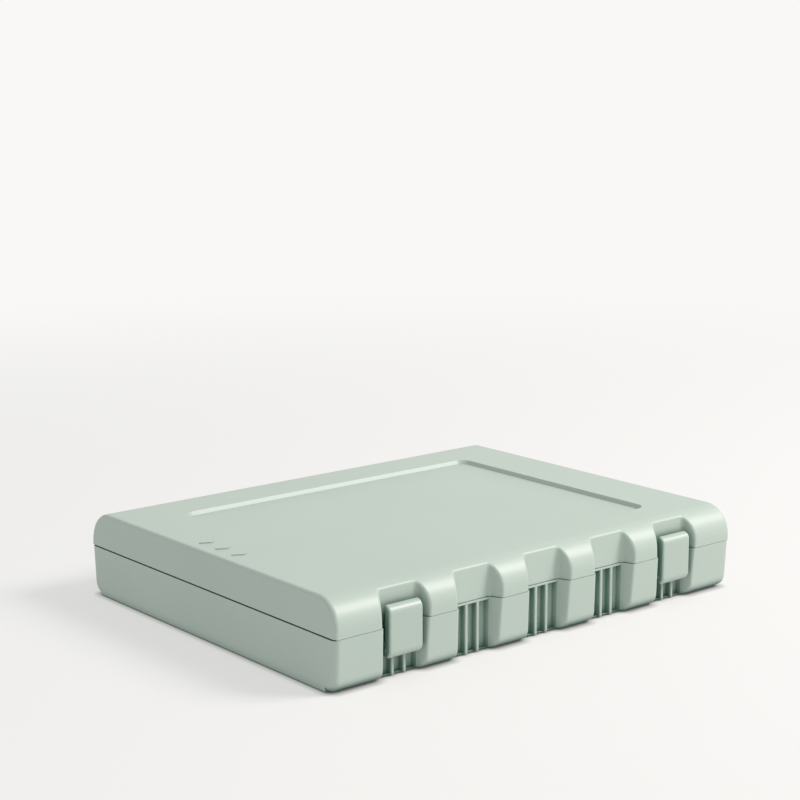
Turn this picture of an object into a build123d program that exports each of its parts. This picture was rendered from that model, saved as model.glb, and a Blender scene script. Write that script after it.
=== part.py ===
from build123d import *
import math
import os

# Wet palette: a flat case of two moulded shells, hinged at the back and latched at the
# front. The lower shell holds a water tray with two sponges and a sheet of palette paper,
# and a strip of dry mixing wells. The lid carries two brush combs.
#
# Everything is modelled about the middle of the case, in millimetres: X runs along the
# front, -Y is the front, Z is up and the feet stand on Z = 0. The hinge barrels stand
# behind the back, so all solids are shifted at the end to centre the overall box.

# ---- the case ----
CASE_W = 320.5
CASE_D = 255.5
CASE_H = 54.0
PART_Z = 32.0           # height of the joint between the shells
PART_GAP = 0.2          # open line between them
SHADOW_H = 0.9          # shadow groove along the joint on the two end faces
SHADOW_DEPTH = 1.6
WALL = 2.5
FOOT_PROUD = 0.6        # how far the feet lift the shell off the table
TOP_R = 17.0            # long top edges
BOTTOM_R = 8.0          # long bottom edges
FLANK_DRAFT = 3.5       # degrees, lower shell's front and back
LID_END_LEAN = 1.4      # how far the lid's ends lean in, from the joint to the top
END_EDGE_R = 2.6        # round along the edges of the lid's ends
CORNER_R = 4.0          # round of the lower shell's corners, down to the bottom
FOOT_EDGE_R = 0.6       # the small round under the lower shell's ends

# ---- the finger bays ----
BAY_PITCH = 55.0
BAY_BACK_HALF = 13.0    # half width at the bay's back wall
BAY_MOUTH_HALF = 16.5   # half width at the front of the case
BAY_DEPTH = 8.0
BAY_CORNER_R = 3.0
BAY_EDGE_R = 1.8
LID_BAY_EXTRA = 0.8     # the lid's bays are this much wider on each side
LID_BAY_LEAN = 1.0      # and this much deeper at the top than at the joint
BAY_OFFSETS = [-2 * BAY_PITCH, -BAY_PITCH, 0.0, BAY_PITCH, 2 * BAY_PITCH]
LATCH_OFFSETS = [-2 * BAY_PITCH, 2 * BAY_PITCH]

# ---- ribbed pockets under the joint, in the lower shell's bays ----
FLANGE_T = 1.3          # rim left over the pocket
FLANGE_PROUD = 0.6
POCKET_REAR_HALF = 12.4 # half width at the pocket's back
POCKET_DEPTH = 3.2      # behind the bay's back wall
POCKET_FLOOR_Z = 1.5
RIB_OFFSET = 4.35
RIB_T = 2.2
RIB_PROUD = 0.8

# ---- seal, tub and lid hollow ----
TUB_HALF_X = 152.2
TUB_HALF_Y = 108.4
TUB_R = 9.0
SEAL_HALF_X = 155.6     # middle line of the gasket
SEAL_HALF_Y = 112.1
SEAL_R = 11.0
GROOVE_W = 2.6
GROOVE_DEPTH = 1.8
GASKET_W = 2.4
SEAL_RIB_W = 3.2
CORE_DEPTH_Y = 8.2      # how far the cored pockets reach behind the block fronts
CORE_FLOOR_Z = 13.0

# ---- the lid's sunk top panel and its raised drops ----
PANEL_X = 237.0
PANEL_FRONT_Y = -93.7
PANEL_BACK_Y = 84.3
PANEL_R = 8.0
PANEL_DEPTH = 2.5
PANEL_SLOPE = 1.6       # how far the panel's edge runs in, from top to bottom
DROP_X = -144.0
DROP_PITCH = 17.0
DROP_R = 3.0
DROP_H = 0.5

# ---- latches ----
LATCH_W = 24.0
LATCH_T = 2.0
LATCH_TOP_Z = 43.5
LATCH_DEPTH = 4.6
LATCH_HEAD_R = 4.4      # the rounded head, seen from the side
LATCH_EDGE_R = 1.2      # the front edges
LATCH_PIVOT_IN = 4.8    # pivot behind the front of the case
LATCH_PIVOT_Z = 17.5
LATCH_PIN_R = 1.0
LATCH_EAR_R = 3.6
LATCH_LUG_R = 2.5
LATCH_RIB_TOP_Z = 11.8  # the ribs below a latch stop under its swing
KEEPER_FRONT_IN = 5.0
KEEPER_HALF_W = 7.0
KEEPER_Z = 37.0
KEEPER_H = 2.5
HOOK_CLEAR = 0.4
LIP_END_DEG = 250.0     # where the latch's bottom lip ends, round the pivot
PIN_CLEAR = 0.05

# ---- hinges ----
HINGE_OUT = 0.4         # axis behind the back of the case
HINGE_R = 3.6
HINGE_PIN_R = 1.5
HINGE_HALF_LEN = 12.0
HINGE_LID_HALF = 5.0    # half length of the lid's knuckle
HINGE_GAP = 0.3

# ---- feet and what lies inside ----
FOOT_R = 7.0
FOOT_SOCKET = 1.2
FOOT_X = 135.0
FOOT_Y = 92.0
TRAY_CLEAR = 0.6
TRAY_T = 1.6
TRAY_H = 13.0
TRAY_NOTCH_R = 12.0
SPONGE_X = 296.0
SPONGE_Y = 209.0
SPONGE_T = 4.5
PAPER_X = 297.0         # an A4 sheet
PAPER_Y = 210.0
PAPER_T = 0.3
WELL_STRIP_Y = 53.4
WELL_TOP_Z = 29.5
WELL_T = 2.0
WELL_COUNT = 6
WELL_PITCH = 49.0
WELL_SIZE = 42.0
WELL_R = 8.0
WELL_STRIP_R = 8.2
WELL_DEPTH = 9.5
WELL_WALL = 1.6
COMB_X = 85.0
COMB_T = 8.0
COMB_LEN = 100.0
COMB_TOOTH_LEN = 92.0
COMB_H = 13.5
COMB_FLANGE_W = 16.0
COMB_FLANGE_T = 1.8
COMB_PITCH = 28.0
BRUSH_R = 4.5
BRUSH_MOUTH = 7.2

BASE_BOTTOM_Z = FOOT_PROUD
BASE_TOP_Z = PART_Z - PART_GAP / 2
LID_BOTTOM_Z = PART_Z + PART_GAP / 2
FRONT_Y = -CASE_D / 2
BACK_Y = CASE_D / 2
FLOOR_Z = BASE_BOTTOM_Z + WALL
ROOF_Z = CASE_H - WALL
PANEL_UNDER_Z = CASE_H - PANEL_DEPTH - WALL
HINGE_Y = BACK_Y + HINGE_OUT
BOX_SHIFT_Y = -(HINGE_OUT + HINGE_R) / 2
TALL = 4 * CASE_H       # longer than anything it cuts


# ---- shared shapes ----

def block(x0, x1, y0, y1, z0, z1):
    """A box between two corners."""
    return Pos((x0 + x1) / 2, (y0 + y1) / 2, (z0 + z1) / 2) * Box(x1 - x0, y1 - y0, z1 - z0)


def rounded_block(half_x, half_y, z0, z1, radius):
    """An upright box about the middle of the case, with rounded corners in plan."""
    plan = RectangleRounded(2 * half_x, 2 * half_y, radius)
    return Pos(0, 0, z0) * extrude(plan, z1 - z0)


def side_prism(face, x0, x1):
    """Extrudes a face drawn as (y, z) from x0 to x1."""
    placed = Plane(origin=(x0, 0, 0), x_dir=(0, 1, 0), z_dir=(1, 0, 0)) * face
    return extrude(placed, x1 - x0, dir=(1, 0, 0))


def rod(x0, x1, y, z, radius):
    """A round rod along X."""
    return side_prism(Pos(y, z) * Circle(radius), x0, x1)


def front_and_back(front):
    """The same shape at the front and, turned half round, at the back."""
    return [front, Rot(0, 0, 180) * front]


def case_profile():
    """The closed case seen from its end, as a (y, z) face."""
    run_in = flank_run_in()
    outline = Polyline(
        (FRONT_Y, PART_Z),
        (FRONT_Y, CASE_H),
        (BACK_Y, CASE_H),
        (BACK_Y, PART_Z),
        (BACK_Y - run_in, BASE_BOTTOM_Z),
        (FRONT_Y + run_in, BASE_BOTTOM_Z),
        close=True,
    )
    face = make_face(outline)
    face = fillet(face.vertices().filter_by(lambda v: v.Y > CASE_H - 1), TOP_R)
    return fillet(face.vertices().filter_by(lambda v: v.Y < BASE_BOTTOM_Z + 1), BOTTOM_R)


def round_ends(body, keep_z, radius):
    """Rounds the edges of a body's two end faces, but for those at the height keep_z."""
    chosen = ShapeList()
    reach = CASE_W / 2 - LID_END_LEAN - 0.3
    for edge in body.edges():
        spots = [edge @ t for t in (0.0, 0.5, 1.0)]
        on_end = all(abs(p.X) > reach for p in spots)
        if on_end and not all(abs(p.Z - keep_z) < 0.01 for p in spots):
            chosen.append(edge)
    return fillet(chosen, radius)


def lid_block():
    """The lid as a full solid, its ends leaning in towards the top."""
    half = CASE_W / 2
    top = CASE_H + 1
    top_half = half - LID_END_LEAN * (top - PART_Z) / (CASE_H - PART_Z)
    outline = Polyline((-half, PART_Z), (-top_half, top), (top_half, top), (half, PART_Z), close=True)
    seen = Plane(origin=(0, CASE_D, 0), x_dir=(1, 0, 0), z_dir=(0, -1, 0)) * make_face(outline)
    body = side_prism(case_profile(), -CASE_W, CASE_W) & extrude(seen, 2 * CASE_D)
    body = round_ends(body, PART_Z, END_EDGE_R)
    return body & block(-CASE_W, CASE_W, -CASE_D, CASE_D, LID_BOTTOM_Z, TALL)


def flank_run_in():
    """How far the lower shell's front and back run in, from the joint to the bottom."""
    return (PART_Z - BASE_BOTTOM_Z) * math.tan(math.radians(FLANK_DRAFT))


def corner_stock():
    """The lower shell's flanks and lower rounds without its bottom, with well rounded ends."""
    low = -CASE_H
    turn = math.radians(90 - FLANK_DRAFT)
    front = FRONT_Y + flank_run_in()
    inner = front + BOTTOM_R * math.tan(turn / 2)
    outline = Polyline(
        (FRONT_Y, PART_Z),
        (front, BASE_BOTTOM_Z),
        (inner + 0.01, BASE_BOTTOM_Z),
        (inner + 0.01, low),
        (-inner - 0.01, low),
        (-inner - 0.01, BASE_BOTTOM_Z),
        (-front, BASE_BOTTOM_Z),
        (-FRONT_Y, PART_Z),
        close=True,
    )
    face = make_face(outline)
    outer = face.vertices().filter_by(lambda v: abs(abs(v.X) - abs(front)) < 0.001)
    face = fillet(outer, BOTTOM_R)
    body = side_prism(face, -CASE_W / 2, CASE_W / 2)
    chosen = ShapeList()
    for edge in body.faces().filter_by(Axis.X).edges():
        middle = edge @ 0.5
        if BASE_BOTTOM_Z + 0.5 < middle.Z < PART_Z - 0.01:
            chosen.append(edge)
    return fillet(chosen, CORNER_R)


def base_block():
    """The lower shell as a full solid: rounded corners, and ends that stay upright to the bottom."""
    body = side_prism(case_profile(), -CASE_W / 2, CASE_W / 2)
    body &= block(-CASE_W, CASE_W, -CASE_D, CASE_D, -TALL, PART_Z)
    body = round_ends(body, PART_Z, FOOT_EDGE_R)
    body &= corner_stock()
    return body & block(-CASE_W, CASE_W, -CASE_D, CASE_D, -TALL, BASE_TOP_Z)


def core_prism():
    """The case's outline pulled in by the wall, between the end walls."""
    inner = offset(case_profile(), -WALL)
    return side_prism(inner, -CASE_W / 2 + WALL, CASE_W / 2 - WALL)


def bay_plan(extra, deeper, corner):
    """A bay in plan at the front of the case, open to the front."""
    slope = (BAY_MOUTH_HALF - BAY_BACK_HALF) / BAY_DEPTH
    back = FRONT_Y + BAY_DEPTH + deeper
    mouth = FRONT_Y - BAY_DEPTH
    back_half = BAY_BACK_HALF + extra
    mouth_half = back_half + slope * (back - mouth)
    outline = Polyline(
        (-mouth_half, mouth),
        (-back_half, back),
        (back_half, back),
        (mouth_half, mouth),
        close=True,
    )
    face = make_face(outline)
    return fillet(face.vertices().filter_by(lambda v: abs(v.Y - back) < 0.01), corner)


def bay_cutter(x, grow, lid):
    """The space of one front bay, grown by a wall thickness where an inner skin follows it."""
    extra = grow + (LID_BAY_EXTRA if lid else 0.0)
    corner = BAY_CORNER_R if lid else BAY_CORNER_R / 3
    low_plan = bay_plan(extra, grow, corner + grow)
    if not lid:
        return Pos(x, 0, -TALL / 2) * extrude(low_plan, TALL)
    high_plan = bay_plan(extra, grow + LID_BAY_LEAN, corner + grow)
    low = Pos(x, 0, PART_Z) * low_plan
    high = Pos(x, 0, CASE_H) * high_plan
    return loft([low, high], ruled=True) + Pos(x, 0, PART_Z - CASE_H) * extrude(low_plan, CASE_H)


def all_bays(grow, lid):
    """Every bay, front and back."""
    cutters = []
    for x in BAY_OFFSETS:
        cutters += front_and_back(bay_cutter(x, grow, lid))
    return cutters


def soften_bay_edges(shell, skip_z):
    """Rounds the edges where the bays break through the long outer surfaces."""
    section = (Plane.YZ * case_profile()).wire()
    chosen = ShapeList()
    for edge in shell.edges():
        spots = [edge @ t for t in (0.1, 0.5, 0.9)]
        if all(abs(p.Z - skip_z) < 0.01 for p in spots):
            continue
        if max(abs(p.X) for p in spots) > 2 * BAY_PITCH + BAY_MOUTH_HALF + 5:
            continue
        if all(Vertex(0, p.Y, p.Z).distance_to(section) < 0.02 for p in spots):
            if abs(spots[0].Z - spots[2].Z) < 0.01 and abs(spots[1].Y) < BACK_Y - TOP_R:
                continue
            chosen.append(edge)
    return fillet(chosen, BAY_EDGE_R)


def shadow_grooves():
    """The grooves that draw a dark line along the joint on the end faces."""
    low = PART_Z - SHADOW_H / 2
    groove = block(CASE_W / 2 - SHADOW_DEPTH, CASE_W, -CASE_D, CASE_D, low, low + SHADOW_H)
    return front_and_back(groove)


def ring(half_x, half_y, radius, width, z0, z1):
    """A rounded rectangular ring of the given width about its middle line."""
    half = width / 2
    outer = rounded_block(half_x + half, half_y + half, z0, z1, radius + half)
    return outer - rounded_block(half_x - half, half_y - half, z0 - 1, z1 + 1, radius - half)


# ---- lower shell ----

def bay_pocket(x, rib_top):
    """The pocket behind one front bay of the lower shell, less its two upright ribs."""
    back = FRONT_Y + BAY_DEPTH
    rear = back + POCKET_DEPTH
    top = BASE_TOP_Z - FLANGE_T
    front_half = BAY_BACK_HALF
    near = back - 1.5
    outline = Polyline((-front_half, near), (-front_half, back), (-POCKET_REAR_HALF, rear),
                       (POCKET_REAR_HALF, rear), (front_half, back), (front_half, near), close=True)
    pocket = Pos(x, 0, POCKET_FLOOR_Z) * extrude(make_face(outline), top - POCKET_FLOOR_Z)
    for side in (-1, 1):
        pocket -= pocket_rib(x + side * RIB_OFFSET, rib_top)
    return pocket


def pocket_rib(x, top):
    """One upright rib with a rounded front edge and lower end."""
    front = FRONT_Y + BAY_DEPTH - RIB_PROUD
    rear = FRONT_Y + BAY_DEPTH + POCKET_DEPTH + 0.5
    rib = block(x - RIB_T / 2, x + RIB_T / 2, front, rear, POCKET_FLOOR_Z - 0.4, top)
    return fillet(rib.edges().filter_by(Axis.Z).group_by(Axis.Y)[0], RIB_T / 2 - 0.3)


def bay_flange(x):
    """The thin rim across a bay, just under the joint and a little proud."""
    plan = bay_plan(0, 0, BAY_CORNER_R / 3)
    back = FRONT_Y + BAY_DEPTH
    strip = block(-BAY_BACK_HALF - 1, BAY_BACK_HALF + 1, back - FLANGE_PROUD, back + 1, 0, FLANGE_T)
    return Pos(x, 0, BASE_TOP_Z - FLANGE_T) * (extrude(plan, FLANGE_T) & strip)


def latch_lug(x):
    """One of the two cheeks on the lower shell that hold a latch's pin."""
    y = FRONT_Y + LATCH_PIVOT_IN
    z = LATCH_PIVOT_Z
    rear = FRONT_Y + BAY_DEPTH + POCKET_DEPTH + 0.5
    top = BASE_TOP_Z - FLANGE_T
    arm = make_face(Polyline((y, z), (y, z + LATCH_LUG_R), (y + 3.2, z + 8.5), (y + 3.2, top + 0.2),
                             (rear, top + 0.2), (rear, z), close=True))
    cheek = side_prism(arm + Pos(y, z) * Circle(LATCH_LUG_R), x - RIB_T / 2, x + RIB_T / 2)
    return cheek - rod(x - RIB_T, x + RIB_T, y, z, LATCH_PIN_R)


def hinge_knuckle(x0, x1, up, bore):
    """A hinge knuckle with its gusset, up for the lid's and down for the lower shell's."""
    wall = BACK_Y - BAY_DEPTH - 0.6
    edge = PART_Z + up * 0.7
    gusset = make_face(Polyline((wall, edge), (HINGE_Y, edge), (HINGE_Y + HINGE_R, PART_Z),
                                (HINGE_Y + 2.3, PART_Z + up * 2.8), (wall, PART_Z + up * 13.0), close=True))
    knuckle = side_prism(gusset + Pos(HINGE_Y, PART_Z) * Circle(HINGE_R), x0, x1)
    return knuckle - rod(x0 - 1, x1 + 1, HINGE_Y, PART_Z, bore)


def base_shell():
    """The lower shell: tub, seal land, bays with ribbed pockets, latch lugs and hinge knuckles."""
    shell = soften_bay_edges(base_block() - all_bays(0, False), BASE_TOP_Z)
    for x in BAY_OFFSETS:
        latched = x in LATCH_OFFSETS
        rib_top = LATCH_RIB_TOP_Z if latched else BASE_TOP_Z
        shell -= bay_pocket(x, rib_top)
        shell += bay_flange(x)
        if latched:
            shell += latch_lug(x - RIB_OFFSET)
            shell += latch_lug(x + RIB_OFFSET)
            for x0, x1 in hinge_spans(x, False):
                shell += hinge_knuckle(x0, x1, -1, HINGE_PIN_R)
        else:
            shell -= Rot(0, 0, 180) * bay_pocket(x, rib_top)
            shell += Rot(0, 0, 180) * bay_flange(x)
    shell += base_ribs()
    shell -= rounded_block(TUB_HALF_X, TUB_HALF_Y, FLOOR_Z, TALL, TUB_R)
    shell -= ring(SEAL_HALF_X, SEAL_HALF_Y, SEAL_R, GROOVE_W, BASE_TOP_Z - GROOVE_DEPTH, TALL)
    shell -= base_cores()
    shell -= shadow_grooves()
    for x, y in foot_places():
        shell -= Pos(x, y, BASE_BOTTOM_Z + FOOT_SOCKET / 2) * Cylinder(FOOT_R, FOOT_SOCKET)
    return shell


def base_ribs():
    """The parts of the pocket ribs that stand proud of the bays' back walls."""
    outside = side_prism(case_profile(), -CASE_W / 2, CASE_W / 2)
    ribs = []
    for x in BAY_OFFSETS:
        latched = x in LATCH_OFFSETS
        rib_top = LATCH_RIB_TOP_Z if latched else BASE_TOP_Z - FLANGE_T / 2
        for side in (-1, 1):
            rib = pocket_rib(x + side * RIB_OFFSET, rib_top) & outside
            ribs.append(rib)
            if not latched:
                ribs.append(Rot(0, 0, 180) * rib)
    return ribs


def base_cores():
    """Blind pockets cored into the solid blocks between the bays, open to the joint."""
    reach = FRONT_Y + CORE_DEPTH_Y
    cores = core_prism() & block(-CASE_W, CASE_W, FRONT_Y, reach, CORE_FLOOR_Z, BASE_TOP_Z + 1)
    for x in BAY_OFFSETS:
        cores -= bay_cutter(x, WALL, False)
    return front_and_back(cores)


def hinge_spans(x, lid):
    """Where the knuckles of one hinge lie along X."""
    if lid:
        return [(x - HINGE_LID_HALF, x + HINGE_LID_HALF)]
    inner = HINGE_LID_HALF + HINGE_GAP
    return [(x - HINGE_HALF_LEN, x - inner), (x + inner, x + HINGE_HALF_LEN)]


def foot_places():
    """The four feet."""
    return [(sx * FOOT_X, sy * FOOT_Y) for sx in (-1, 1) for sy in (-1, 1)]


# ---- lid ----

def panel_sink():
    """The shallow sunk panel in the lid's top, with a sloping edge."""
    length_y = PANEL_BACK_Y - PANEL_FRONT_Y
    middle_y = (PANEL_BACK_Y + PANEL_FRONT_Y) / 2
    low = RectangleRounded(PANEL_X - 2 * PANEL_SLOPE, length_y - 2 * PANEL_SLOPE, PANEL_R - PANEL_SLOPE)
    high = RectangleRounded(PANEL_X, length_y, PANEL_R)
    low = Pos(0, middle_y, CASE_H - PANEL_DEPTH) * low
    high = Pos(0, middle_y, CASE_H) * high
    return loft([low, high], ruled=True)


def lid_hollow():
    """The space inside the lid: a thin skin all round, and a seal rib over the gasket."""
    hollow = core_prism() & block(-CASE_W, CASE_W, -CASE_D, CASE_D, LID_BOTTOM_Z - 1, ROOF_Z)
    hollow -= all_bays(WALL, True)
    rib = rounded_block(CASE_W / 2, SEAL_HALF_Y + SEAL_RIB_W / 2, 0, TALL, SEAL_R)
    rib -= rounded_block(SEAL_HALF_X - SEAL_RIB_W / 2, SEAL_HALF_Y - SEAL_RIB_W / 2, -1, TALL + 1, SEAL_R)
    middle_y = (PANEL_BACK_Y + PANEL_FRONT_Y) / 2
    pan = RectangleRounded(PANEL_X + 2 * WALL, PANEL_BACK_Y - PANEL_FRONT_Y + 2 * WALL, PANEL_R + WALL)
    pan = Pos(0, middle_y, PANEL_UNDER_Z) * extrude(pan, WALL + PANEL_DEPTH)
    return hollow - rib - pan


def keeper(x):
    """The small ledge in a latch bay that the latch snaps over."""
    front = FRONT_Y + KEEPER_FRONT_IN
    rear = FRONT_Y + BAY_DEPTH + 1.5
    ledge = block(x - KEEPER_HALF_W, x + KEEPER_HALF_W, front, rear, KEEPER_Z, KEEPER_Z + KEEPER_H)
    return chamfer(ledge.edges().filter_by(Axis.X).group_by(Axis.Y)[0].sort_by(Axis.Z)[0], 1.5)


def water_drop(y):
    """A raised drop on the lid's left margin."""
    tip = DROP_R * 2.3
    spread = DROP_R * math.cos(math.asin(1 / 2.3))
    touch = DROP_R / 2.3
    cone = make_face(Polyline((0, tip), (-spread, touch), (spread, touch), close=True))
    return Pos(DROP_X, y, CASE_H - 0.2) * (Rot(0, 0, 90) * extrude(cone + Circle(DROP_R), DROP_H + 0.2))


def lid_shell():
    """The lid: thin skin with bays, sunk top panel, keepers and hinge knuckles."""
    shell = soften_bay_edges(lid_block() - all_bays(0, True), LID_BOTTOM_Z)
    shell -= lid_hollow()
    shell -= panel_sink()
    shell -= shadow_grooves()
    for x in LATCH_OFFSETS:
        shell += keeper(x)
        for x0, x1 in hinge_spans(x, True):
            shell += hinge_knuckle(x0, x1, 1, HINGE_PIN_R + PIN_CLEAR)
    for step in (-1, 0, 1):
        shell += water_drop(step * DROP_PITCH)
    return shell


# ---- latches and pins ----

def latch_side(inset):
    """A latch seen from its side, as a (y, z) face: rounded head, straight front, lip round the pivot."""
    y = FRONT_Y + LATCH_PIVOT_IN
    z = LATCH_PIVOT_Z
    front = FRONT_Y + inset
    rear = FRONT_Y + LATCH_DEPTH + (1.0 if inset else 0.0)
    top = LATCH_TOP_Z - inset
    plate = Pos((front + rear) / 2, (z + top) / 2) * Rectangle(rear - front, top - z)
    head = plate.vertices().group_by(Axis.Y)[-1].sort_by(Axis.X)[0]
    plate = fillet(head, LATCH_HEAD_R - inset)
    lip_end = y + LATCH_PIVOT_IN * math.cos(math.radians(LIP_END_DEG))
    quarter = Pos(lip_end - 10, z - 5) * Rectangle(20, 10.02)
    if inset:
        return plate + Pos(y, z) * Circle(LATCH_PIVOT_IN - inset)
    return plate + (Pos(y, z) * Circle(LATCH_PIVOT_IN) & quarter)


def latch(x):
    """A latch: a thin shell that turns on a low pin and snaps over the lid's keeper."""
    y = FRONT_Y + LATCH_PIVOT_IN
    z = LATCH_PIVOT_Z
    half = LATCH_W / 2
    outside = side_prism(latch_side(0.0), -half, half)
    rounded = ShapeList()
    for edge in outside.faces().filter_by(Axis.X).edges():
        middle = edge @ 0.5
        at_the_lip = middle.Z < z - 1 and edge.geom_type == GeomType.LINE
        if middle.Y < FRONT_Y + LATCH_DEPTH - 0.2 and not at_the_lip:
            rounded.append(edge)
    outside = fillet(rounded, LATCH_EDGE_R)
    inner_half = half - LATCH_T
    shell = outside - side_prism(latch_side(LATCH_T), -inner_half, inner_half)
    for side in (-1, 1):
        x0 = min(side * inner_half, side * half)
        shell += rod(x0, x0 + LATCH_T, y, z, LATCH_EAR_R)
    hook_z = KEEPER_Z + KEEPER_H + HOOK_CLEAR
    hook_top = LATCH_TOP_Z - LATCH_T + 0.2
    shell += block(-inner_half, inner_half, FRONT_Y + LATCH_T + 1.2, FRONT_Y + LATCH_DEPTH, hook_z, hook_top)
    shell -= rod(-half - 1, half + 1, y, z, LATCH_PIN_R + PIN_CLEAR)
    return Pos(x, 0, 0) * shell


def latch_pin(x):
    """The steel pin a latch turns on, with its ends a little proud."""
    reach = LATCH_W / 2 + 0.3
    pin = rod(x - reach, x + reach, FRONT_Y + LATCH_PIVOT_IN, LATCH_PIVOT_Z, LATCH_PIN_R)
    return chamfer(pin.edges().filter_by(GeomType.CIRCLE), 0.2)


def hinge_pin(x):
    """The steel pin of one hinge."""
    reach = HINGE_HALF_LEN + 0.3
    pin = rod(x - reach, x + reach, HINGE_Y, PART_Z, HINGE_PIN_R)
    return chamfer(pin.edges().filter_by(GeomType.CIRCLE), 0.3)


# ---- seal, feet and the things inside ----

def rim_gasket():
    """The silicone ring in the lower shell's groove, rounded along its top."""
    seal = ring(SEAL_HALF_X, SEAL_HALF_Y, SEAL_R, GASKET_W, BASE_TOP_Z - GROOVE_DEPTH, LID_BOTTOM_Z - 0.1)
    return fillet(seal.edges().group_by(Axis.Z)[-1], 0.8)


def foot(x, y):
    """A rubber foot pressed into its socket."""
    pad = Pos(x, y, (FOOT_PROUD + FOOT_SOCKET) / 2) * Cylinder(FOOT_R, FOOT_PROUD + FOOT_SOCKET)
    return fillet(pad.edges().group_by(Axis.Z)[0], 0.5)


def water_tray():
    """The shallow tray that holds the water and sponges, with a lifting notch at each end."""
    half_x = TUB_HALF_X - TRAY_CLEAR
    half_y = TUB_HALF_Y - TRAY_CLEAR
    top = FLOOR_Z + TRAY_H
    tray = rounded_block(half_x, half_y, FLOOR_Z, top, TUB_R - TRAY_CLEAR)
    inner_r = TUB_R - TRAY_CLEAR - TRAY_T
    tray -= rounded_block(half_x - TRAY_T, half_y - TRAY_T, FLOOR_Z + TRAY_T, top + 1, inner_r)
    notch = side_prism(Pos(0, top + TRAY_NOTCH_R * 0.6) * Circle(TRAY_NOTCH_R), -CASE_W, CASE_W)
    return tray - notch


def sheet(size_x, size_y, bottom, thickness, radius):
    """A flat sheet lying in the water tray."""
    return rounded_block(size_x / 2, size_y / 2, bottom, bottom + thickness, radius)


def well_places():
    """The middles of the mixing wells along X."""
    return [(i - (WELL_COUNT - 1) / 2) * WELL_PITCH for i in range(WELL_COUNT)]


def well_tray():
    """A strip of dry mixing wells that stands on the water tray's rim along the back."""
    half_x = TUB_HALF_X - TRAY_CLEAR - 0.2
    rear = TUB_HALF_Y - TRAY_CLEAR - 0.2
    front = rear - WELL_STRIP_Y
    middle = (front + rear) / 2
    foot_z = FLOOR_Z + TRAY_H
    outer = block(-half_x, half_x, front, rear, foot_z, WELL_TOP_Z)
    outer = fillet(outer.edges().filter_by(Axis.Z), WELL_STRIP_R)
    outer = fillet(outer.edges().group_by(Axis.Z)[-1], 1.0)
    inner = block(-half_x + WELL_WALL, half_x - WELL_WALL, front + WELL_WALL, rear - WELL_WALL,
                  foot_z - 1, WELL_TOP_Z - WELL_T)
    strip = outer - fillet(inner.edges().filter_by(Axis.Z), WELL_STRIP_R - WELL_WALL)
    for x in well_places():
        strip += Pos(x, middle, 0) * well_cup(WELL_WALL, WELL_TOP_Z - WELL_T / 2)
    for x in well_places():
        strip -= Pos(x, middle, 0) * well_cup(0.0, WELL_TOP_Z + 1)
    slot_half = half_x - 12
    slot_rear = front + WELL_WALL + 1
    return strip - block(-slot_half, slot_half, front - 1, slot_rear, foot_z - 1, foot_z + 2.5)


def well_cup(skin, top):
    """One square well with rounded corners and a rounded floor, grown by its skin."""
    size = WELL_SIZE + 2 * skin
    bottom = WELL_TOP_Z - WELL_DEPTH - skin
    cup = Pos(0, 0, bottom) * extrude(RectangleRounded(size, size, WELL_R + skin), top - bottom)
    return fillet(cup.edges().group_by(Axis.Z)[0], 3.0 + skin)


def brush_comb(x):
    """A comb under the lid whose three notches grip brush handles laid along the case."""
    top = PANEL_UNDER_Z
    half = COMB_LEN / 2
    tooth = COMB_TOOTH_LEN / 2
    comb = block(-COMB_FLANGE_W / 2, COMB_FLANGE_W / 2, -half, half, top - COMB_FLANGE_T, top)
    comb = fillet(comb.edges().filter_by(Axis.Z), 4.0)
    comb += block(-COMB_T / 2, COMB_T / 2, -tooth, tooth, top - COMB_H, top - COMB_FLANGE_T / 2)
    for step in (-1, 0, 1):
        y = step * COMB_PITCH
        z = top - COMB_H + BRUSH_R + 1.2
        comb -= rod(-COMB_T, COMB_T, y, z, BRUSH_R)
        comb -= block(-COMB_T, COMB_T, y - BRUSH_MOUTH / 2, y + BRUSH_MOUTH / 2, top - COMB_H - 1, z)
    return Pos(x, 0, 0) * comb


def build():
    """Every sub-part by node name, about the middle of the case."""
    tray_floor = FLOOR_Z + TRAY_T
    parts = {
        "base_shell": base_shell(),
        "lid_shell": lid_shell(),
        "rim_gasket": rim_gasket(),
        "water_tray": water_tray(),
        "sponge_lower": sheet(SPONGE_X, SPONGE_Y, tray_floor, SPONGE_T, 6.0),
        "sponge_upper": sheet(SPONGE_X, SPONGE_Y, tray_floor + SPONGE_T, SPONGE_T, 6.0),
        "palette_paper": sheet(PAPER_X, PAPER_Y, tray_floor + 2 * SPONGE_T, PAPER_T, 6.0),
        "well_tray": well_tray(),
    }
    for side, x in zip(("left", "right"), LATCH_OFFSETS):
        parts["latch_" + side] = latch(x)
        parts["latch_pin_" + side] = latch_pin(x)
        parts["hinge_pin_" + side] = hinge_pin(x)
        parts["brush_comb_" + side] = brush_comb(math.copysign(COMB_X, x))
    for x, y in foot_places():
        name = "foot_" + ("front" if y < 0 else "back") + "_" + ("left" if x < 0 else "right")
        parts[name] = foot(x, y)
    return parts


os.makedirs("parts", exist_ok=True)
for node, shape in build().items():
    export_step(Pos(0, BOX_SHIFT_Y, 0) * shape, os.path.join("parts", node + ".step"))
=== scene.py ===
import math

import bmesh
import bpy
from mathutils import Euler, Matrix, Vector, noise


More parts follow.
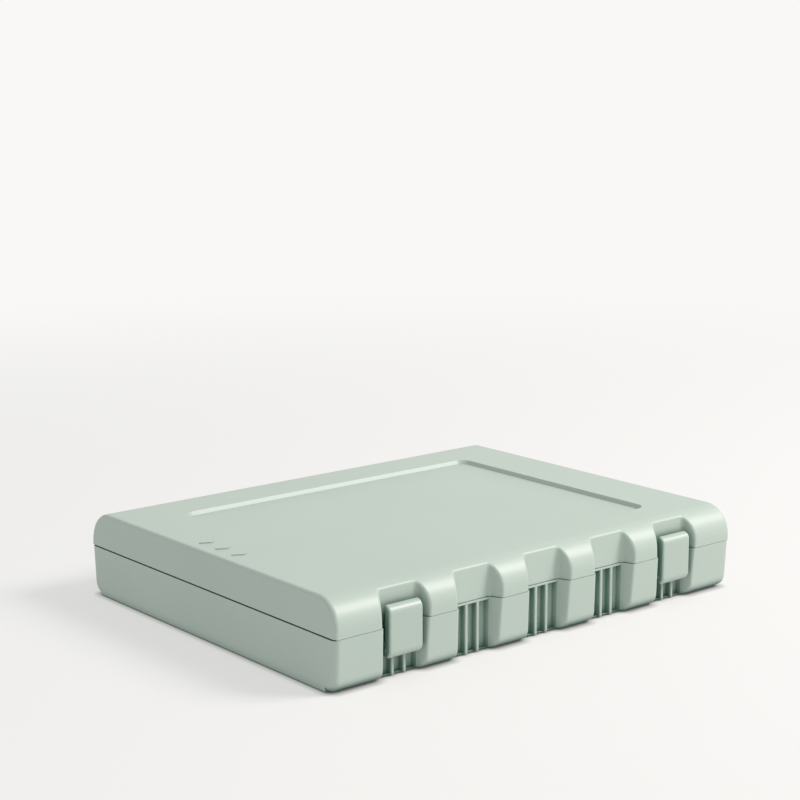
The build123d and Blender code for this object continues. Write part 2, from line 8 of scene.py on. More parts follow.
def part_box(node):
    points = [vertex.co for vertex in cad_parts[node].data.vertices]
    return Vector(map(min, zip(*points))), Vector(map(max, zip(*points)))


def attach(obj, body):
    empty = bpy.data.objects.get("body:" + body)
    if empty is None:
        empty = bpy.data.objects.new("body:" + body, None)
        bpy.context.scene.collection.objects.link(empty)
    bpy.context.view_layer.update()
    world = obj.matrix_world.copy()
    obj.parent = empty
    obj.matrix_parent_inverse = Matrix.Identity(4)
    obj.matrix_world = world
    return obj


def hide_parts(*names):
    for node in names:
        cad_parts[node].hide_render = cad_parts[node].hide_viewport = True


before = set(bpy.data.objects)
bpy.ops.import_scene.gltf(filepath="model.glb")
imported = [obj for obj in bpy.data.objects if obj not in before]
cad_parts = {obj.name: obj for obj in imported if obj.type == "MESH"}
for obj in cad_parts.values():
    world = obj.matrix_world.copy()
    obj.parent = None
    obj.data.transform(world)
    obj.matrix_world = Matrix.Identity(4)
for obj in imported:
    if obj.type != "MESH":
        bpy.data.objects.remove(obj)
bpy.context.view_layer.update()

MM = 0.001
scene = bpy.context.scene


# ---------------------------------------------------------------------------
# Table top, backdrop, studio light and camera.
# An opal acrylic light table, lit from within and from above, runs out into a bright
# seamless backdrop. One softbox stands high on the front right, and the pale room fills in.
# Near the case the table's own glow is dimmed by ambient occlusion, which is a painted contact shadow.
# ---------------------------------------------------------------------------

TABLE_OPAL = "#9E9E9E"      # what the acrylic scatters back of the light from above
TABLE_GLOW = 0.55           # what it sheds by itself, as a share of the backdrop's brightness
TABLE_RADIUS = 4.0
PAINTED_CONTACT_SHADOW_REACH = 5.0 * MM    # how far from the case the painted contact shadow dims the table's own light
FADE_START = 0.30           # from the middle of the case, where the table starts to run out
FADE_END = 1.5
BACKDROP_WHITE = "#F9F8F6"
ROOM_WHITE = "#F6FBFA"
ROOM_STRENGTH = 0.62
KEY_WARM = "#FFF6F2"
KEY_PLACE = (1.25, -1.15, 1.5)
KEY_SIZE = 0.9
KEY_WATTS = 46.0


def linear_colour(hex_code):
    """An sRGB hex colour as linear red, green, blue and an alpha of 1."""
    values = [int(hex_code[i:i + 2], 16) / 255 for i in (1, 3, 5)]
    return [v / 12.92 if v <= 0.04045 else ((v + 0.055) / 1.055) ** 2.4 for v in values] + [1.0]


def add_node(tree, kind, inputs=None, **settings):
    """Adds a node with its settings; an input is a value or another node's output socket."""
    node = tree.nodes.new(kind)
    for name, value in settings.items():
        setattr(node, name, value)
    for name, value in (inputs or {}).items():
        if isinstance(value, bpy.types.NodeSocket):
            tree.links.new(value, node.inputs[name])
        else:
            node.inputs[name].default_value = value
    return node


def new_material(name):
    """An empty node material and its tree."""
    material = bpy.data.materials.new(name)
    material.use_nodes = True
    material.node_tree.nodes.clear()
    return material, material.node_tree


def close_surface(tree, colour, rough, relief, settings):
    """Ends a material: its colour, roughness, relief and own settings on one shader."""
    inputs = {"Base Color": colour, "Roughness": rough, "Normal": relief.outputs["Normal"]}
    shader = add_node(tree, "ShaderNodeBsdfPrincipled", {**inputs, **settings})
    add_node(tree, "ShaderNodeOutputMaterial", {"Surface": shader.outputs["BSDF"]})


def mesh_object(name, bm):
    """A new object that holds what was built in bm."""
    mesh = bpy.data.meshes.new(name)
    bm.to_mesh(mesh)
    bm.free()
    made = bpy.data.objects.new(name, mesh)
    scene.collection.objects.link(made)
    return made


def table_top():
    """The light table, flat under the feet, which fades into the backdrop; its glow carries a painted
    contact shadow near the case.
    """
    bm = bmesh.new()
    bmesh.ops.create_circle(bm, cap_ends=True, segments=96, radius=TABLE_RADIUS)
    top = mesh_object("table_top", bm)
    material, tree = new_material("matt_opal_acrylic")
    place = add_node(tree, "ShaderNodeTexCoord").outputs["Object"]
    away = add_node(tree, "ShaderNodeVectorMath", {0: place}, operation="LENGTH")
    reach = {"Value": away.outputs["Value"], "From Min": FADE_START, "From Max": FADE_END}
    fade = add_node(tree, "ShaderNodeMapRange", reach, interpolation_type="SMOOTHSTEP")
    # painted contact shadow: ambient occlusion dims the table's glow where the case is near
    painted_shade_ao = add_node(tree, "ShaderNodeAmbientOcclusion", {"Distance": PAINTED_CONTACT_SHADOW_REACH}, samples=8)
    glow_with_painted_contact_shadow = add_node(tree, "ShaderNodeMath", {0: painted_shade_ao.outputs["AO"], 1: TABLE_GLOW},
                       operation="MULTIPLY")
    lit = add_node(tree, "ShaderNodeBsdfDiffuse", {"Color": linear_colour(TABLE_OPAL)})
    under = add_node(tree, "ShaderNodeEmission", {"Color": linear_colour(BACKDROP_WHITE),
                                                  "Strength": glow_with_painted_contact_shadow.outputs[0]})
    near = add_node(tree, "ShaderNodeAddShader", {0: lit.outputs[0], 1: under.outputs[0]})
    far = add_node(tree, "ShaderNodeEmission", {"Color": linear_colour(BACKDROP_WHITE)})
    both = add_node(tree, "ShaderNodeMixShader", {0: fade.outputs[0], 1: near.outputs[0],
                                                  2: far.outputs[0]})
    add_node(tree, "ShaderNodeOutputMaterial", {"Surface": both.outputs[0]})
    top.data.materials.append(material)


def backdrop():
    """A bright dome that is seen and mirrored, but sheds no light of its own."""
    bm = bmesh.new()
    bmesh.ops.create_uvsphere(bm, u_segments=64, v_segments=32, radius=TABLE_RADIUS)
    dome = mesh_object("backdrop_dome", bm)
    material, tree = new_material("lit_backdrop_paper")
    glow = add_node(tree, "ShaderNodeEmission", {"Color": linear_colour(BACKDROP_WHITE)})
    add_node(tree, "ShaderNodeOutputMaterial", {"Surface": glow.outputs[0]})
    dome.data.materials.append(material)
    dome.visible_diffuse = False
    dome.visible_shadow = False


def soft_light(name, place, aim, size, watts, colour):
    """A square softbox that looks at aim."""
    lamp = bpy.data.lights.new(name, "AREA")
    lamp.size = size
    lamp.energy = watts
    lamp.color = linear_colour(colour)[:3]
    held = bpy.data.objects.new(name, lamp)
    held.location = place
    held.rotation_euler = (Vector(aim) - Vector(place)).to_track_quat("-Z", "Y").to_euler()
    scene.collection.objects.link(held)


def studio():
    """The room's even light and the key softbox."""
    world = bpy.data.worlds.new("pale_room")
    world.use_nodes = True
    room = world.node_tree.nodes["Background"]
    room.inputs["Color"].default_value = linear_colour(ROOM_WHITE)
    room.inputs["Strength"].default_value = ROOM_STRENGTH
    scene.world = world
    soft_light("key_softbox", KEY_PLACE, (0, 0, 0), KEY_SIZE, KEY_WATTS, KEY_WARM)
    scene.view_settings.view_transform = "Standard"


CAMERA_PLACE = (-0.74365, -0.89365, 0.3532)
CAMERA_TURN = 39.477     # degrees, from +Y towards +X
CAMERA_DIP = 11.132      # degrees below the horizon
CAMERA_ROLL = -0.174
CAMERA_LENS = 84.13      # millimetres, on a 36 mm wide sensor


def camera():
    """A short telephoto at the front left corner, a little above the lid."""
    lens = bpy.data.cameras.new("camera")
    lens.lens = CAMERA_LENS
    lens.sensor_width = 36.0
    lens.clip_start = 0.05
    seen_from = bpy.data.objects.new("camera", lens)
    seen_from.location = CAMERA_PLACE
    turn = Euler((math.radians(90 - CAMERA_DIP), 0, math.radians(-CAMERA_TURN)), "XYZ").to_matrix()
    roll = Euler((0, 0, math.radians(CAMERA_ROLL)), "XYZ").to_matrix()
    seen_from.rotation_euler = (turn @ roll).to_euler("XYZ")
    scene.collection.objects.link(seen_from)
    scene.camera = seen_from


table_top()
backdrop()
studio()
camera()


# ---------------------------------------------------------------------------
# The two shells.
# ABS, injection moulded in a spark-eroded tool: an even grey-green with a fine satin
# grain that spreads every highlight. Edges carry a small radius, and recesses carry painted shade:
# a darker green that ambient occlusion mixes in.
# ---------------------------------------------------------------------------

CASE_GREEN = "#B0BEB5"
CASE_GREEN_DEEP = "#ABBAB0"
# the painted shade colour that goes into recesses
CASE_GREEN_PAINTED_SHADE = "#5C7F70"
ABS_IOR = 1.53
SHELL_ROUGH = 0.44
GRAIN_SIZE = 0.40 * MM      # the tool's grain is nearer 0.05 mm, drawn coarser to show
GRAIN_HEIGHT = 0.02 * MM
FLOW_SIZE = 60.0 * MM       # slow change of tone along the melt's flow
EDGE_RADIUS = 0.30 * MM     # smallest radius the tool leaves on an edge
PAINTED_SHADE_REACH = 10.0 * MM    # how far the ambient occlusion looks for walls that bring on the painted shade
PAINTED_SHADE_FULL = 0.30          # share of open air at which the painted shade is full
PAINTED_SHADE_NONE = 0.72          # and at which there is none


def moulded_abs(name, light, deep, painted_shade_colour, rough):
    """Satin moulded ABS: faint cloudy tone, painted shade in recesses, fine grain in gloss and bump.
    """
    material, tree = new_material(name)
    place = add_node(tree, "ShaderNodeTexCoord").outputs["Object"]
    flow = add_node(tree, "ShaderNodeTexNoise", {"Vector": place, "Scale": 1 / FLOW_SIZE,
                                                 "Detail": 2.0})
    tone = add_node(tree, "ShaderNodeMix", {"Factor": flow.outputs["Fac"], 6: linear_colour(light),
                                            7: linear_colour(deep)}, data_type="RGBA")
    # painted shade: ambient occlusion mixes the shade colour into recesses
    painted_shade_ao = add_node(tree, "ShaderNodeAmbientOcclusion", {"Distance": PAINTED_SHADE_REACH}, samples=6)
    painted_shade_share = add_node(tree, "ShaderNodeMapRange", {"Value": painted_shade_ao.outputs["AO"],
                                                  "From Min": PAINTED_SHADE_FULL, "From Max": PAINTED_SHADE_NONE,
                                                  "To Min": 1.0, "To Max": 0.0})
    shade = add_node(tree, "ShaderNodeMix", {"Factor": painted_shade_share.outputs[0], 6: tone.outputs[2],
                                             7: linear_colour(painted_shade_colour)}, data_type="RGBA")
    grain = add_node(tree, "ShaderNodeTexNoise", {"Vector": place, "Scale": 1 / GRAIN_SIZE,
                                                  "Detail": 1.0})
    gloss = add_node(tree, "ShaderNodeMapRange", {"Value": grain.outputs["Fac"],
                                                  "To Min": rough - 0.05, "To Max": rough + 0.07})
    edge = add_node(tree, "ShaderNodeBevel", {"Radius": EDGE_RADIUS}, samples=4)
    bump = add_node(tree, "ShaderNodeBump", {"Height": grain.outputs["Fac"], "Strength": 0.10,
                                             "Distance": GRAIN_HEIGHT, "Normal": edge.outputs[0]})
    close_surface(tree, shade.outputs[2], gloss.outputs[0], bump, {"IOR": ABS_IOR})
    return material


def dress(material, *nodes):
    """Puts one material on CAD nodes."""
    for node in nodes:
        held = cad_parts[node]
        held.data.materials.clear()
        held.data.materials.append(material)


shell_abs = moulded_abs("satin_moulded_abs", CASE_GREEN, CASE_GREEN_DEEP, CASE_GREEN_PAINTED_SHADE,
                        SHELL_ROUGH)
dress(shell_abs, "base_shell", "lid_shell")


# ---------------------------------------------------------------------------
# The two latches.
# The same ABS, moulded separately in a smoother tool, so they shine a little more and
# match the shells only closely. Each turns on a steel pin.
# ---------------------------------------------------------------------------

LATCH_GREEN = "#ACBAB1"
LATCH_GREEN_DEEP = "#A7B6AC"
LATCH_ROUGH = 0.38

# the latches get the same painted shade in their recesses
latch_abs = moulded_abs("semi_gloss_moulded_abs", LATCH_GREEN, LATCH_GREEN_DEEP, CASE_GREEN_PAINTED_SHADE,
                        LATCH_ROUGH)
dress(latch_abs, "latch_left", "latch_right")


# ---------------------------------------------------------------------------
# Hinge and latch pins.
# Stainless spring wire, drawn and cut to length: fine lines run along the wire, and the
# cut ends are chamfered. They are pressed into the lower shell's knuckles and cheeks.
# ---------------------------------------------------------------------------

STEEL = "#C9CACB"
STEEL_DARK = "#9A9C9E"
DRAW_LINE = 0.12 * MM       # width of a drawing line round the wire, real ones are nearer 0.02 mm
DRAW_HEIGHT = 0.01 * MM
DRAW_STRETCH = 0.02         # the lines run this much slower along the wire


def drawn_wire():
    """Drawn stainless wire: streaks along X in tone, gloss and bump."""
    material, tree = new_material("drawn_stainless_wire")
    place = add_node(tree, "ShaderNodeTexCoord").outputs["Object"]
    along = add_node(tree, "ShaderNodeMapping", {"Vector": place, "Scale": (DRAW_STRETCH, 1.0, 1.0)})
    lines = add_node(tree, "ShaderNodeTexNoise", {"Vector": along.outputs[0], "Scale": 1 / DRAW_LINE,
                                                  "Detail": 3.0})
    tone = add_node(tree, "ShaderNodeMix", {"Factor": lines.outputs["Fac"], 6: linear_colour(STEEL),
                                            7: linear_colour(STEEL_DARK)}, data_type="RGBA")
    gloss = add_node(tree, "ShaderNodeMapRange", {"Value": lines.outputs["Fac"], "To Min": 0.18,
                                                  "To Max": 0.42})
    bump = add_node(tree, "ShaderNodeBump", {"Height": lines.outputs["Fac"], "Strength": 0.3,
                                             "Distance": DRAW_HEIGHT})
    close_surface(tree, tone.outputs[2], gloss.outputs[0], bump, {"Metallic": 1.0})
    return material


dress(drawn_wire(), "hinge_pin_left", "hinge_pin_right", "latch_pin_left", "latch_pin_right")


# ---------------------------------------------------------------------------
# Rubber feet.
# Moulded nitrile rubber buttons pressed into sockets under the lower shell. The rubber is
# matt, blooms a little paler in patches, and has a finely pitted skin.
# ---------------------------------------------------------------------------

RUBBER_BLACK = "#1E2020"
RUBBER_BLOOM = "#34373A"
BLOOM_SIZE = 3.0 * MM
PIT_SIZE = 0.25 * MM
PIT_DEPTH = 0.05 * MM
RUBBER_IOR = 1.52


def nitrile_rubber():
    """Matt black rubber with a pale bloom and a slightly pitted skin."""
    material, tree = new_material("matt_moulded_nitrile_rubber")
    place = add_node(tree, "ShaderNodeTexCoord").outputs["Object"]
    bloom = add_node(tree, "ShaderNodeTexNoise", {"Vector": place, "Scale": 1 / BLOOM_SIZE,
                                                  "Detail": 4.0})
    pits = add_node(tree, "ShaderNodeTexVoronoi", {"Vector": place, "Scale": 1 / PIT_SIZE})
    tone = add_node(tree, "ShaderNodeMix", {"Factor": bloom.outputs["Fac"],
                                            6: linear_colour(RUBBER_BLACK),
                                            7: linear_colour(RUBBER_BLOOM)}, data_type="RGBA")
    gloss = add_node(tree, "ShaderNodeMapRange", {"Value": bloom.outputs["Fac"], "To Min": 0.7,
                                                  "To Max": 0.9})
    bump = add_node(tree, "ShaderNodeBump", {"Height": pits.outputs["Distance"], "Strength": 0.35,
                                             "Distance": PIT_DEPTH})
    close_surface(tree, tone.outputs[2], gloss.outputs[0], bump, {"IOR": RUBBER_IOR})
    return material


dress(nitrile_rubber(), "foot_front_left", "foot_front_right", "foot_back_left", "foot_back_right")


# ---------------------------------------------------------------------------
# The seal.
# One endless ring of moulded silicone in the lower shell's groove. It is a rounded bead
# on a flat foot, with a narrow lip on each side that grips the groove.
# ---------------------------------------------------------------------------

SEAL_WIDTH = 2.4 * MM
SEAL_CORNER = 11.0 * MM     # the bead's middle line, in plan
SEAL_BEAD = 0.78            # half width of the bead, as a share of the foot's
SEAL_FOOT = 0.35            # height of the foot, as a share of the whole
SEAL_STEP = 6.0             # degrees between sections at the corners
SILICONE = "#5F726A"
SILICONE_PALE = "#73867D"
TALC_SIZE = 0.6 * MM
TALC_HEIGHT = 0.03 * MM
SILICONE_IOR = 1.41
SILICONE_DEPTH = 0.5 * MM   # how far light gets into it


def rounded_loop(low, high, inset, corner, step, z):
    """Points round a box's plan, pulled in by inset, with arcs of the given radius at its corners."""
    points = []
    arc_steps = max(2, round(90 / step))
    corners = [(high[0], high[1]), (low[0], high[1]), (low[0], low[1]), (high[0], low[1])]
    for turn, (x, y) in enumerate(corners):
        side_x = 1 if turn in (0, 3) else -1
        side_y = 1 if turn in (0, 1) else -1
        mid_x = x - side_x * (inset + corner)
        mid_y = y - side_y * (inset + corner)
        for k in range(arc_steps + 1):
            angle = math.radians(90 * turn + 90 * k / arc_steps)
            points.append((mid_x + corner * math.cos(angle), mid_y + corner * math.sin(angle), z))
    return points


def bridge_loops(bm, rings, closed):
    """Faces between rings of vertices with equal counts; closed also joins the last to the first."""
    last = len(rings) if closed else len(rings) - 1
    for i in range(last):
        near, far = rings[i], rings[(i + 1) % len(rings)]
        for k in range(len(near)):
            nxt = (k + 1) % len(near)
            bm.faces.new((near[k], near[nxt], far[nxt], far[k]))


def smooth_all(made, angle):
    """Smooth shading with edges kept sharp over the given angle, in degrees."""
    made.data.shade_smooth()
    bm = bmesh.new()
    bm.from_mesh(made.data)
    bmesh.ops.recalc_face_normals(bm, faces=bm.faces[:])
    for edge in bm.edges:
        edge.smooth = len(edge.link_faces) == 2 and edge.calc_face_angle() < math.radians(angle)
    bm.to_mesh(made.data)
    bm.free()


def seal_section(half, height):
    """The seal's section as (out from its middle line, up) points: foot, gripping lips, round bead."""
    foot = height * SEAL_FOOT
    bead = half * SEAL_BEAD
    section = [(-half * 0.85, 0.0), (half * 0.85, 0.0), (half, foot * 0.5), (bead, foot)]
    for k in range(9):
        angle = math.radians(180 * k / 8)
        rise = height - foot
        section.append((bead * math.cos(angle), foot + rise * (0.35 + 0.65 * math.sin(angle))))
    return section + [(-bead, foot), (-half, foot * 0.5)]


def seal():
    """Sweeps the seal's section round its groove."""
    low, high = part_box("rim_gasket")
    half = SEAL_WIDTH / 2
    bm = bmesh.new()
    rings = []
    for out, up in seal_section(half, high[2] - low[2]):
        loop = rounded_loop(low, high, half - out, SEAL_CORNER + out, SEAL_STEP, low[2] + up)
        rings.append([bm.verts.new(p) for p in loop])
    bridge_loops(bm, rings, True)
    return mesh_object("silicone_seal", bm)


def matt_silicone():
    """Matt silicone: slightly see-through, with pale talc held in its skin."""
    material, tree = new_material("matt_moulded_silicone")
    place = add_node(tree, "ShaderNodeTexCoord").outputs["Object"]
    talc = add_node(tree, "ShaderNodeTexNoise", {"Vector": place, "Scale": 1 / TALC_SIZE,
                                                 "Detail": 5.0})
    tone = add_node(tree, "ShaderNodeMix", {"Factor": talc.outputs["Fac"], 6: linear_colour(SILICONE),
                                            7: linear_colour(SILICONE_PALE)}, data_type="RGBA")
    gloss = add_node(tree, "ShaderNodeMapRange", {"Value": talc.outputs["Fac"], "To Min": 0.45,
                                                  "To Max": 0.65})
    bump = add_node(tree, "ShaderNodeBump", {"Height": talc.outputs["Fac"], "Strength": 0.2,
                                             "Distance": TALC_HEIGHT})
    close_surface(tree, tone.outputs[2], gloss.outputs[0], bump,
                  {"IOR": SILICONE_IOR, "Subsurface Weight": 0.15, "Subsurface Scale": SILICONE_DEPTH})
    return material


rim_seal = seal()
smooth_all(rim_seal, 50)
rim_seal.data.materials.append(matt_silicone())
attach(rim_seal, "base")
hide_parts("rim_gasket")


# ---------------------------------------------------------------------------
# The water tray.
# A thin tray of natural polypropylene that lifts out of the lower shell. It is milky and
# lets a little light through, with the faint scuffs of a tray that is slid in and out.
# ---------------------------------------------------------------------------

TRAY_MILK = "#DDE3E0"
TRAY_SHADE = "#CFD7D3"
SCUFF_LENGTH = 8.0 * MM
SCUFF_WIDTH = 0.3 * MM
SCUFF_DEPTH = 0.02 * MM
POLYPROPYLENE_IOR = 1.49
TRAY_LIGHT_DEPTH = 1.5 * MM # how far light gets into the milky wall


def natural_polypropylene():
    """Milky polypropylene with fine scuffs in its gloss."""
    material, tree = new_material("natural_moulded_polypropylene")
    place = add_node(tree, "ShaderNodeTexCoord").outputs["Object"]
    cloud = add_node(tree, "ShaderNodeTexNoise", {"Vector": place, "Scale": 1 / FLOW_SIZE,
                                                  "Detail": 3.0})
    tone = add_node(tree, "ShaderNodeMix", {"Factor": cloud.outputs["Fac"],
                                            6: linear_colour(TRAY_MILK),
                                            7: linear_colour(TRAY_SHADE)}, data_type="RGBA")
    stretch = (1 / SCUFF_WIDTH, 1 / SCUFF_LENGTH, 1 / SCUFF_WIDTH)
    slid = add_node(tree, "ShaderNodeMapping", {"Vector": place, "Scale": stretch})
    scuffs = add_node(tree, "ShaderNodeTexNoise", {"Vector": slid.outputs[0], "Scale": 1.0,
                                                   "Detail": 2.0})
    gloss = add_node(tree, "ShaderNodeMapRange", {"Value": scuffs.outputs["Fac"], "From Min": 0.35,
                                                  "From Max": 0.75, "To Min": 0.30, "To Max": 0.55})
    bump = add_node(tree, "ShaderNodeBump", {"Height": scuffs.outputs["Fac"], "Strength": 0.1,
                                             "Distance": SCUFF_DEPTH})
    close_surface(tree, tone.outputs[2], gloss.outputs[0], bump,
                  {"IOR": POLYPROPYLENE_IOR, "Subsurface Weight": 0.25,
                   "Subsurface Scale": TRAY_LIGHT_DEPTH})
    return material


dress(natural_polypropylene(), "water_tray")


# ---------------------------------------------------------------------------
# The two sponges.
# Open-cell polyurethane foam, split from a block and die cut to the tray, so the faces
# are open pores, the cut sides waver a little, and the edges are soft.
# ---------------------------------------------------------------------------

FOAM_CELL = 9.0 * MM        # spacing of the slab's grid
FOAM_CORNER = 6.0 * MM
FOAM_EDGE = 0.7 * MM        # the soft round along a cut edge
FOAM_SWELL = 0.25 * MM      # how far the faces rise and fall
FOAM_WAVER = 60.0 * MM      # length of the faces' swell, and a quarter of it on the sides
PORE_SIZE = 1.1 * MM        # real cells are nearer 0.6 mm, drawn coarser to show
PORE_DEPTH = 0.3 * MM
FOAM_IOR = 1.45
FOAM_ROUGH = 0.95
FOAM_YELLOW = "#E8D79A"
# painted shade in the pores, deepest where the foam is damp
FOAM_PORE_SHADE_AND_DAMP = "#C9B26B"


def square_to_round(x, y, half_x, half_y, corner):
    """Moves a point of a rectangle so that its square corners become round."""
    out_x = abs(x) - (half_x - corner)
    out_y = abs(y) - (half_y - corner)
    if out_x <= 0 or out_y <= 0:
        return x, y
    share = max(out_x, out_y) / math.hypot(out_x, out_y)
    new_x = half_x - corner + out_x * share
    new_y = half_y - corner + out_y * share
    return math.copysign(new_x, x), math.copysign(new_y, y)


def grid_sheet(bm, low, high, corner, spacing):
    """A flat grid over a box's plan, with rounded corners, at height 0."""
    half_x = (high[0] - low[0]) / 2
    half_y = (high[1] - low[1]) / 2
    count_x = round(2 * half_x / spacing)
    count_y = round(2 * half_y / spacing)
    rows = []
    for j in range(count_y + 1):
        row = []
        for i in range(count_x + 1):
            x, y = square_to_round(half_x * (2 * i / count_x - 1), half_y * (2 * j / count_y - 1),
                                   half_x, half_y, corner)
            row.append(bm.verts.new(((low[0] + high[0]) / 2 + x, (low[1] + high[1]) / 2 + y, 0.0)))
        rows.append(row)
    for j in range(count_y):
        for i in range(count_x):
            bm.faces.new((rows[j][i], rows[j][i + 1], rows[j + 1][i + 1], rows[j + 1][i]))


def foam_slab(node, name, seed):
    """One sponge: a soft-edged slab whose faces and cut sides waver inside the solid's box."""
    low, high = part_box(node)
    thick = high[2] - low[2]
    bm = bmesh.new()
    grid_sheet(bm, low, high, FOAM_CORNER, FOAM_CELL)
    bottom = bm.verts[:]
    raised = bmesh.ops.extrude_face_region(bm, geom=bm.faces[:])
    top = [v for v in raised["geom"] if isinstance(v, bmesh.types.BMVert)]
    for v in bottom:
        v.co.z = low[2]
    for v in top:
        dip = noise.noise(v.co / FOAM_WAVER + Vector((seed, 0, 0)))
        v.co.z = high[2] - FOAM_SWELL * (0.5 + 0.5 * dip)
    bmesh.ops.recalc_face_normals(bm, faces=bm.faces[:])
    rims = [e for e in bm.edges if len(e.link_faces) == 2 and e.calc_face_angle() > math.radians(60)
            and abs(e.verts[0].co.z - e.verts[1].co.z) < thick / 2]
    bmesh.ops.bevel(bm, geom=rims, offset=FOAM_EDGE, segments=3, affect="EDGES")
    middle = Vector(((low[0] + high[0]) / 2, (low[1] + high[1]) / 2, 0))
    for v in bm.verts:
        if low[2] + 0.2 * MM < v.co.z < high[2] - FOAM_SWELL - 0.2 * MM:
            waver = 0.5 + 0.5 * noise.noise(v.co / (FOAM_WAVER / 4) + Vector((0, seed, 0)))
            v.co += (middle - v.co).normalized() * FOAM_EDGE * waver * Vector((1, 1, 0)).length / 1.5
    return mesh_object(name, bm)


def open_cell_foam():
    """Open-cell foam: pale struts and pores darkened with painted shade, most in damp patches, in
    colour and bump.
    """
    material, tree = new_material("open_cell_polyurethane_foam")
    place = add_node(tree, "ShaderNodeTexCoord").outputs["Object"]
    cells = add_node(tree, "ShaderNodeTexVoronoi", {"Vector": place, "Scale": 1 / PORE_SIZE,
                                                    "Randomness": 0.9}, feature="DISTANCE_TO_EDGE")
    struts = add_node(tree, "ShaderNodeMapRange", {"Value": cells.outputs["Distance"],
                                                   "From Min": 0.02, "From Max": 0.3, "To Min": 0.0,
                                                   "To Max": 1.0})
    damp = add_node(tree, "ShaderNodeTexNoise", {"Vector": place, "Scale": 1 / (12 * PORE_SIZE),
                                                 "Detail": 3.0})
    # painted shade in the pore holes, strongest in the damp patches
    pore_shade_and_damp = add_node(tree, "ShaderNodeMath", {0: struts.outputs[0], 1: damp.outputs["Fac"]},
                    operation="MULTIPLY")
    tone = add_node(tree, "ShaderNodeMix", {"Factor": pore_shade_and_damp.outputs[0], 6: linear_colour(FOAM_YELLOW),
                                            7: linear_colour(FOAM_PORE_SHADE_AND_DAMP)}, data_type="RGBA")
    bump = add_node(tree, "ShaderNodeBump", {"Height": struts.outputs[0], "Strength": 0.8,
                                             "Distance": PORE_DEPTH}, invert=True)
    close_surface(tree, tone.outputs[2], FOAM_ROUGH, bump, {"IOR": FOAM_IOR, "Sheen Weight": 0.2})
    return material


foam = open_cell_foam()
for node, name, seed in (("sponge_lower", "foam_slab_lower", 3.0),
                         ("sponge_upper", "foam_slab_upper", 8.0)):
    slab = foam_slab(node, name, seed)
    smooth_all(slab, 80)
    slab.data.materials.append(foam)
    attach(slab, "base")
    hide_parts(node)


# ---------------------------------------------------------------------------
# The palette paper.
# One A4 sheet of greaseproof palette paper laid on the upper sponge. Damp from below
# makes it cockle in long shallow waves, and its fibres show as a faint mottle.
# ---------------------------------------------------------------------------

PAPER_THICK = 0.12 * MM
PAPER_LIFT = 0.05 * MM      # how far the sheet's lowest places stand off the solid's bottom
PAPER_CORNER = 3.0 * MM
PAPER_CELL = 4.5 * MM
COCKLE_RISE = 0.7 * MM
COCKLE_LENGTH = 55.0 * MM
PAPER_WHITE = "#E4E1D6"
PAPER_FIBRE = "#D0CBB8"
FIBRE_SIZE = 0.8 * MM
FIBRE_HEIGHT = 0.03 * MM
PAPER_IOR = 1.47
PAPER_LIGHT_DEPTH = 0.5 * MM


def palette_sheet():
    """The cockled sheet, just clear of the sponge, with a real thickness."""
    low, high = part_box("palette_paper")
    bm = bmesh.new()
    grid_sheet(bm, low, high, PAPER_CORNER, PAPER_CELL)
    for v in bm.verts:
        wave = noise.noise(Vector((v.co.x / COCKLE_LENGTH, v.co.y / (1.8 * COCKLE_LENGTH), 4.0)))
        ripple = noise.noise(Vector((v.co.x / (0.4 * COCKLE_LENGTH), v.co.y / COCKLE_LENGTH, 9.0)))
        v.co.z = low[2] + PAPER_LIFT + COCKLE_RISE * max(0.0, 0.45 + 0.5 * wave + 0.12 * ripple)
    bmesh.ops.recalc_face_normals(bm, faces=bm.faces[:])
    bmesh.ops.solidify(bm, geom=bm.faces[:], thickness=-PAPER_THICK)
    return mesh_object("palette_paper_sheet", bm)


def greaseproof_paper():
    """Glazed greaseproof paper: smooth, faintly mottled by its fibres, a little see-through."""
    material, tree = new_material("glazed_greaseproof_paper")
    place = add_node(tree, "ShaderNodeTexCoord").outputs["Object"]
    fibre = add_node(tree, "ShaderNodeTexNoise", {"Vector": place, "Scale": 1 / FIBRE_SIZE,
                                                  "Detail": 6.0, "Roughness": 0.7, "Distortion": 1.5})
    mottle = add_node(tree, "ShaderNodeMapRange", {"Value": fibre.outputs["Fac"], "From Min": 0.35,
                                                   "From Max": 0.7})
    tone = add_node(tree, "ShaderNodeMix", {"Factor": mottle.outputs[0],
                                            6: linear_colour(PAPER_WHITE),
                                            7: linear_colour(PAPER_FIBRE)}, data_type="RGBA")
    gloss = add_node(tree, "ShaderNodeMapRange", {"Value": fibre.outputs["Fac"], "To Min": 0.38,
                                                  "To Max": 0.6})
    bump = add_node(tree, "ShaderNodeBump", {"Height": fibre.outputs["Fac"], "Strength": 0.15,
                                             "Distance": FIBRE_HEIGHT})
    close_surface(tree, tone.outputs[2], gloss.outputs[0], bump,
                  {"IOR": PAPER_IOR, "Subsurface Weight": 0.1, "Subsurface Scale": PAPER_LIGHT_DEPTH})
    return material


paper = palette_sheet()
smooth_all(paper, 60)
paper.data.materials.append(greaseproof_paper())
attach(paper, "base")
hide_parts("palette_paper")


# ---------------------------------------------------------------------------
# The mixing wells.
# A strip of high-impact polystyrene, moulded in a polished tool so that paint wipes off.
# It is white and glossy, with hairline wiping scratches in the gloss.
# ---------------------------------------------------------------------------

WELL_WHITE = "#DCE0DD"
WELL_SHADE = "#D3D9D5"
WIPE_SIZE = 1.6 * MM
WIPE_DEPTH = 0.01 * MM
POLYSTYRENE_IOR = 1.59


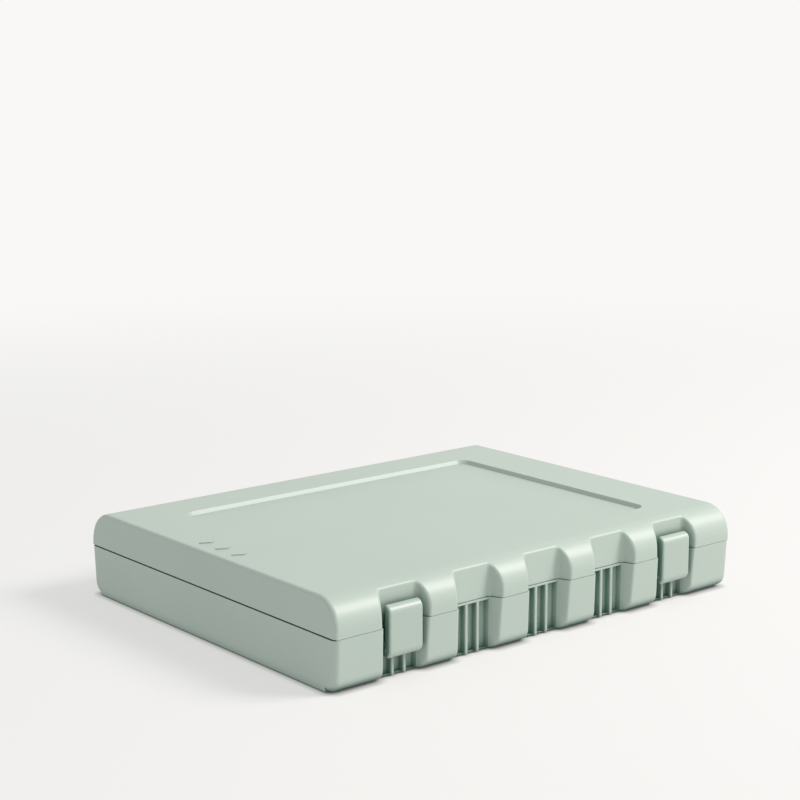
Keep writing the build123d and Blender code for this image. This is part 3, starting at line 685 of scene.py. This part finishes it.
def polished_polystyrene():
    """Glossy white polystyrene with swirled hairline wiping marks."""
    material, tree = new_material("polished_moulded_polystyrene")
    place = add_node(tree, "ShaderNodeTexCoord").outputs["Object"]
    cloud = add_node(tree, "ShaderNodeTexNoise", {"Vector": place, "Scale": 1 / FLOW_SIZE,
                                                  "Detail": 2.0})
    tone = add_node(tree, "ShaderNodeMix", {"Factor": cloud.outputs["Fac"],
                                            6: linear_colour(WELL_WHITE),
                                            7: linear_colour(WELL_SHADE)}, data_type="RGBA")
    wipes = add_node(tree, "ShaderNodeTexNoise", {"Vector": place, "Scale": 1 / WIPE_SIZE,
                                                  "Detail": 5.0, "Distortion": 6.0})
    gloss = add_node(tree, "ShaderNodeMapRange", {"Value": wipes.outputs["Fac"], "From Min": 0.4,
                                                  "From Max": 0.7, "To Min": 0.10, "To Max": 0.24})
    bump = add_node(tree, "ShaderNodeBump", {"Height": wipes.outputs["Fac"], "Strength": 0.05,
                                             "Distance": WIPE_DEPTH})
    close_surface(tree, tone.outputs[2], gloss.outputs[0], bump, {"IOR": POLYSTYRENE_IOR})
    return material


dress(polished_polystyrene(), "well_tray")


# ---------------------------------------------------------------------------
# The brush combs.
# Two combs of softer green polypropylene, glued under the lid. The teeth flex as a brush
# handle clicks in, so the plastic is waxy and shows pale stress marks in places.
# ---------------------------------------------------------------------------

COMB_GREEN = "#7E948A"
COMB_STRESS = "#93A79D"
STRESS_SIZE = 5.0 * MM


def waxy_polypropylene():
    """Waxy green polypropylene with faint pale stress marks."""
    material, tree = new_material("waxy_moulded_polypropylene")
    place = add_node(tree, "ShaderNodeTexCoord").outputs["Object"]
    marks = add_node(tree, "ShaderNodeTexNoise", {"Vector": place, "Scale": 1 / STRESS_SIZE,
                                                  "Detail": 4.0})
    spread = add_node(tree, "ShaderNodeMapRange", {"Value": marks.outputs["Fac"], "From Min": 0.5,
                                                   "From Max": 0.8})
    tone = add_node(tree, "ShaderNodeMix", {"Factor": spread.outputs[0], 6: linear_colour(COMB_GREEN),
                                            7: linear_colour(COMB_STRESS)}, data_type="RGBA")
    grain = add_node(tree, "ShaderNodeTexNoise", {"Vector": place, "Scale": 1 / GRAIN_SIZE,
                                                  "Detail": 1.0})
    gloss = add_node(tree, "ShaderNodeMapRange", {"Value": grain.outputs["Fac"], "To Min": 0.36,
                                                  "To Max": 0.5})
    bump = add_node(tree, "ShaderNodeBump", {"Height": grain.outputs["Fac"], "Strength": 0.1,
                                             "Distance": GRAIN_HEIGHT})
    close_surface(tree, tone.outputs[2], gloss.outputs[0], bump, {"IOR": POLYPROPYLENE_IOR})
    return material


dress(waxy_polypropylene(), "brush_comb_left", "brush_comb_right")
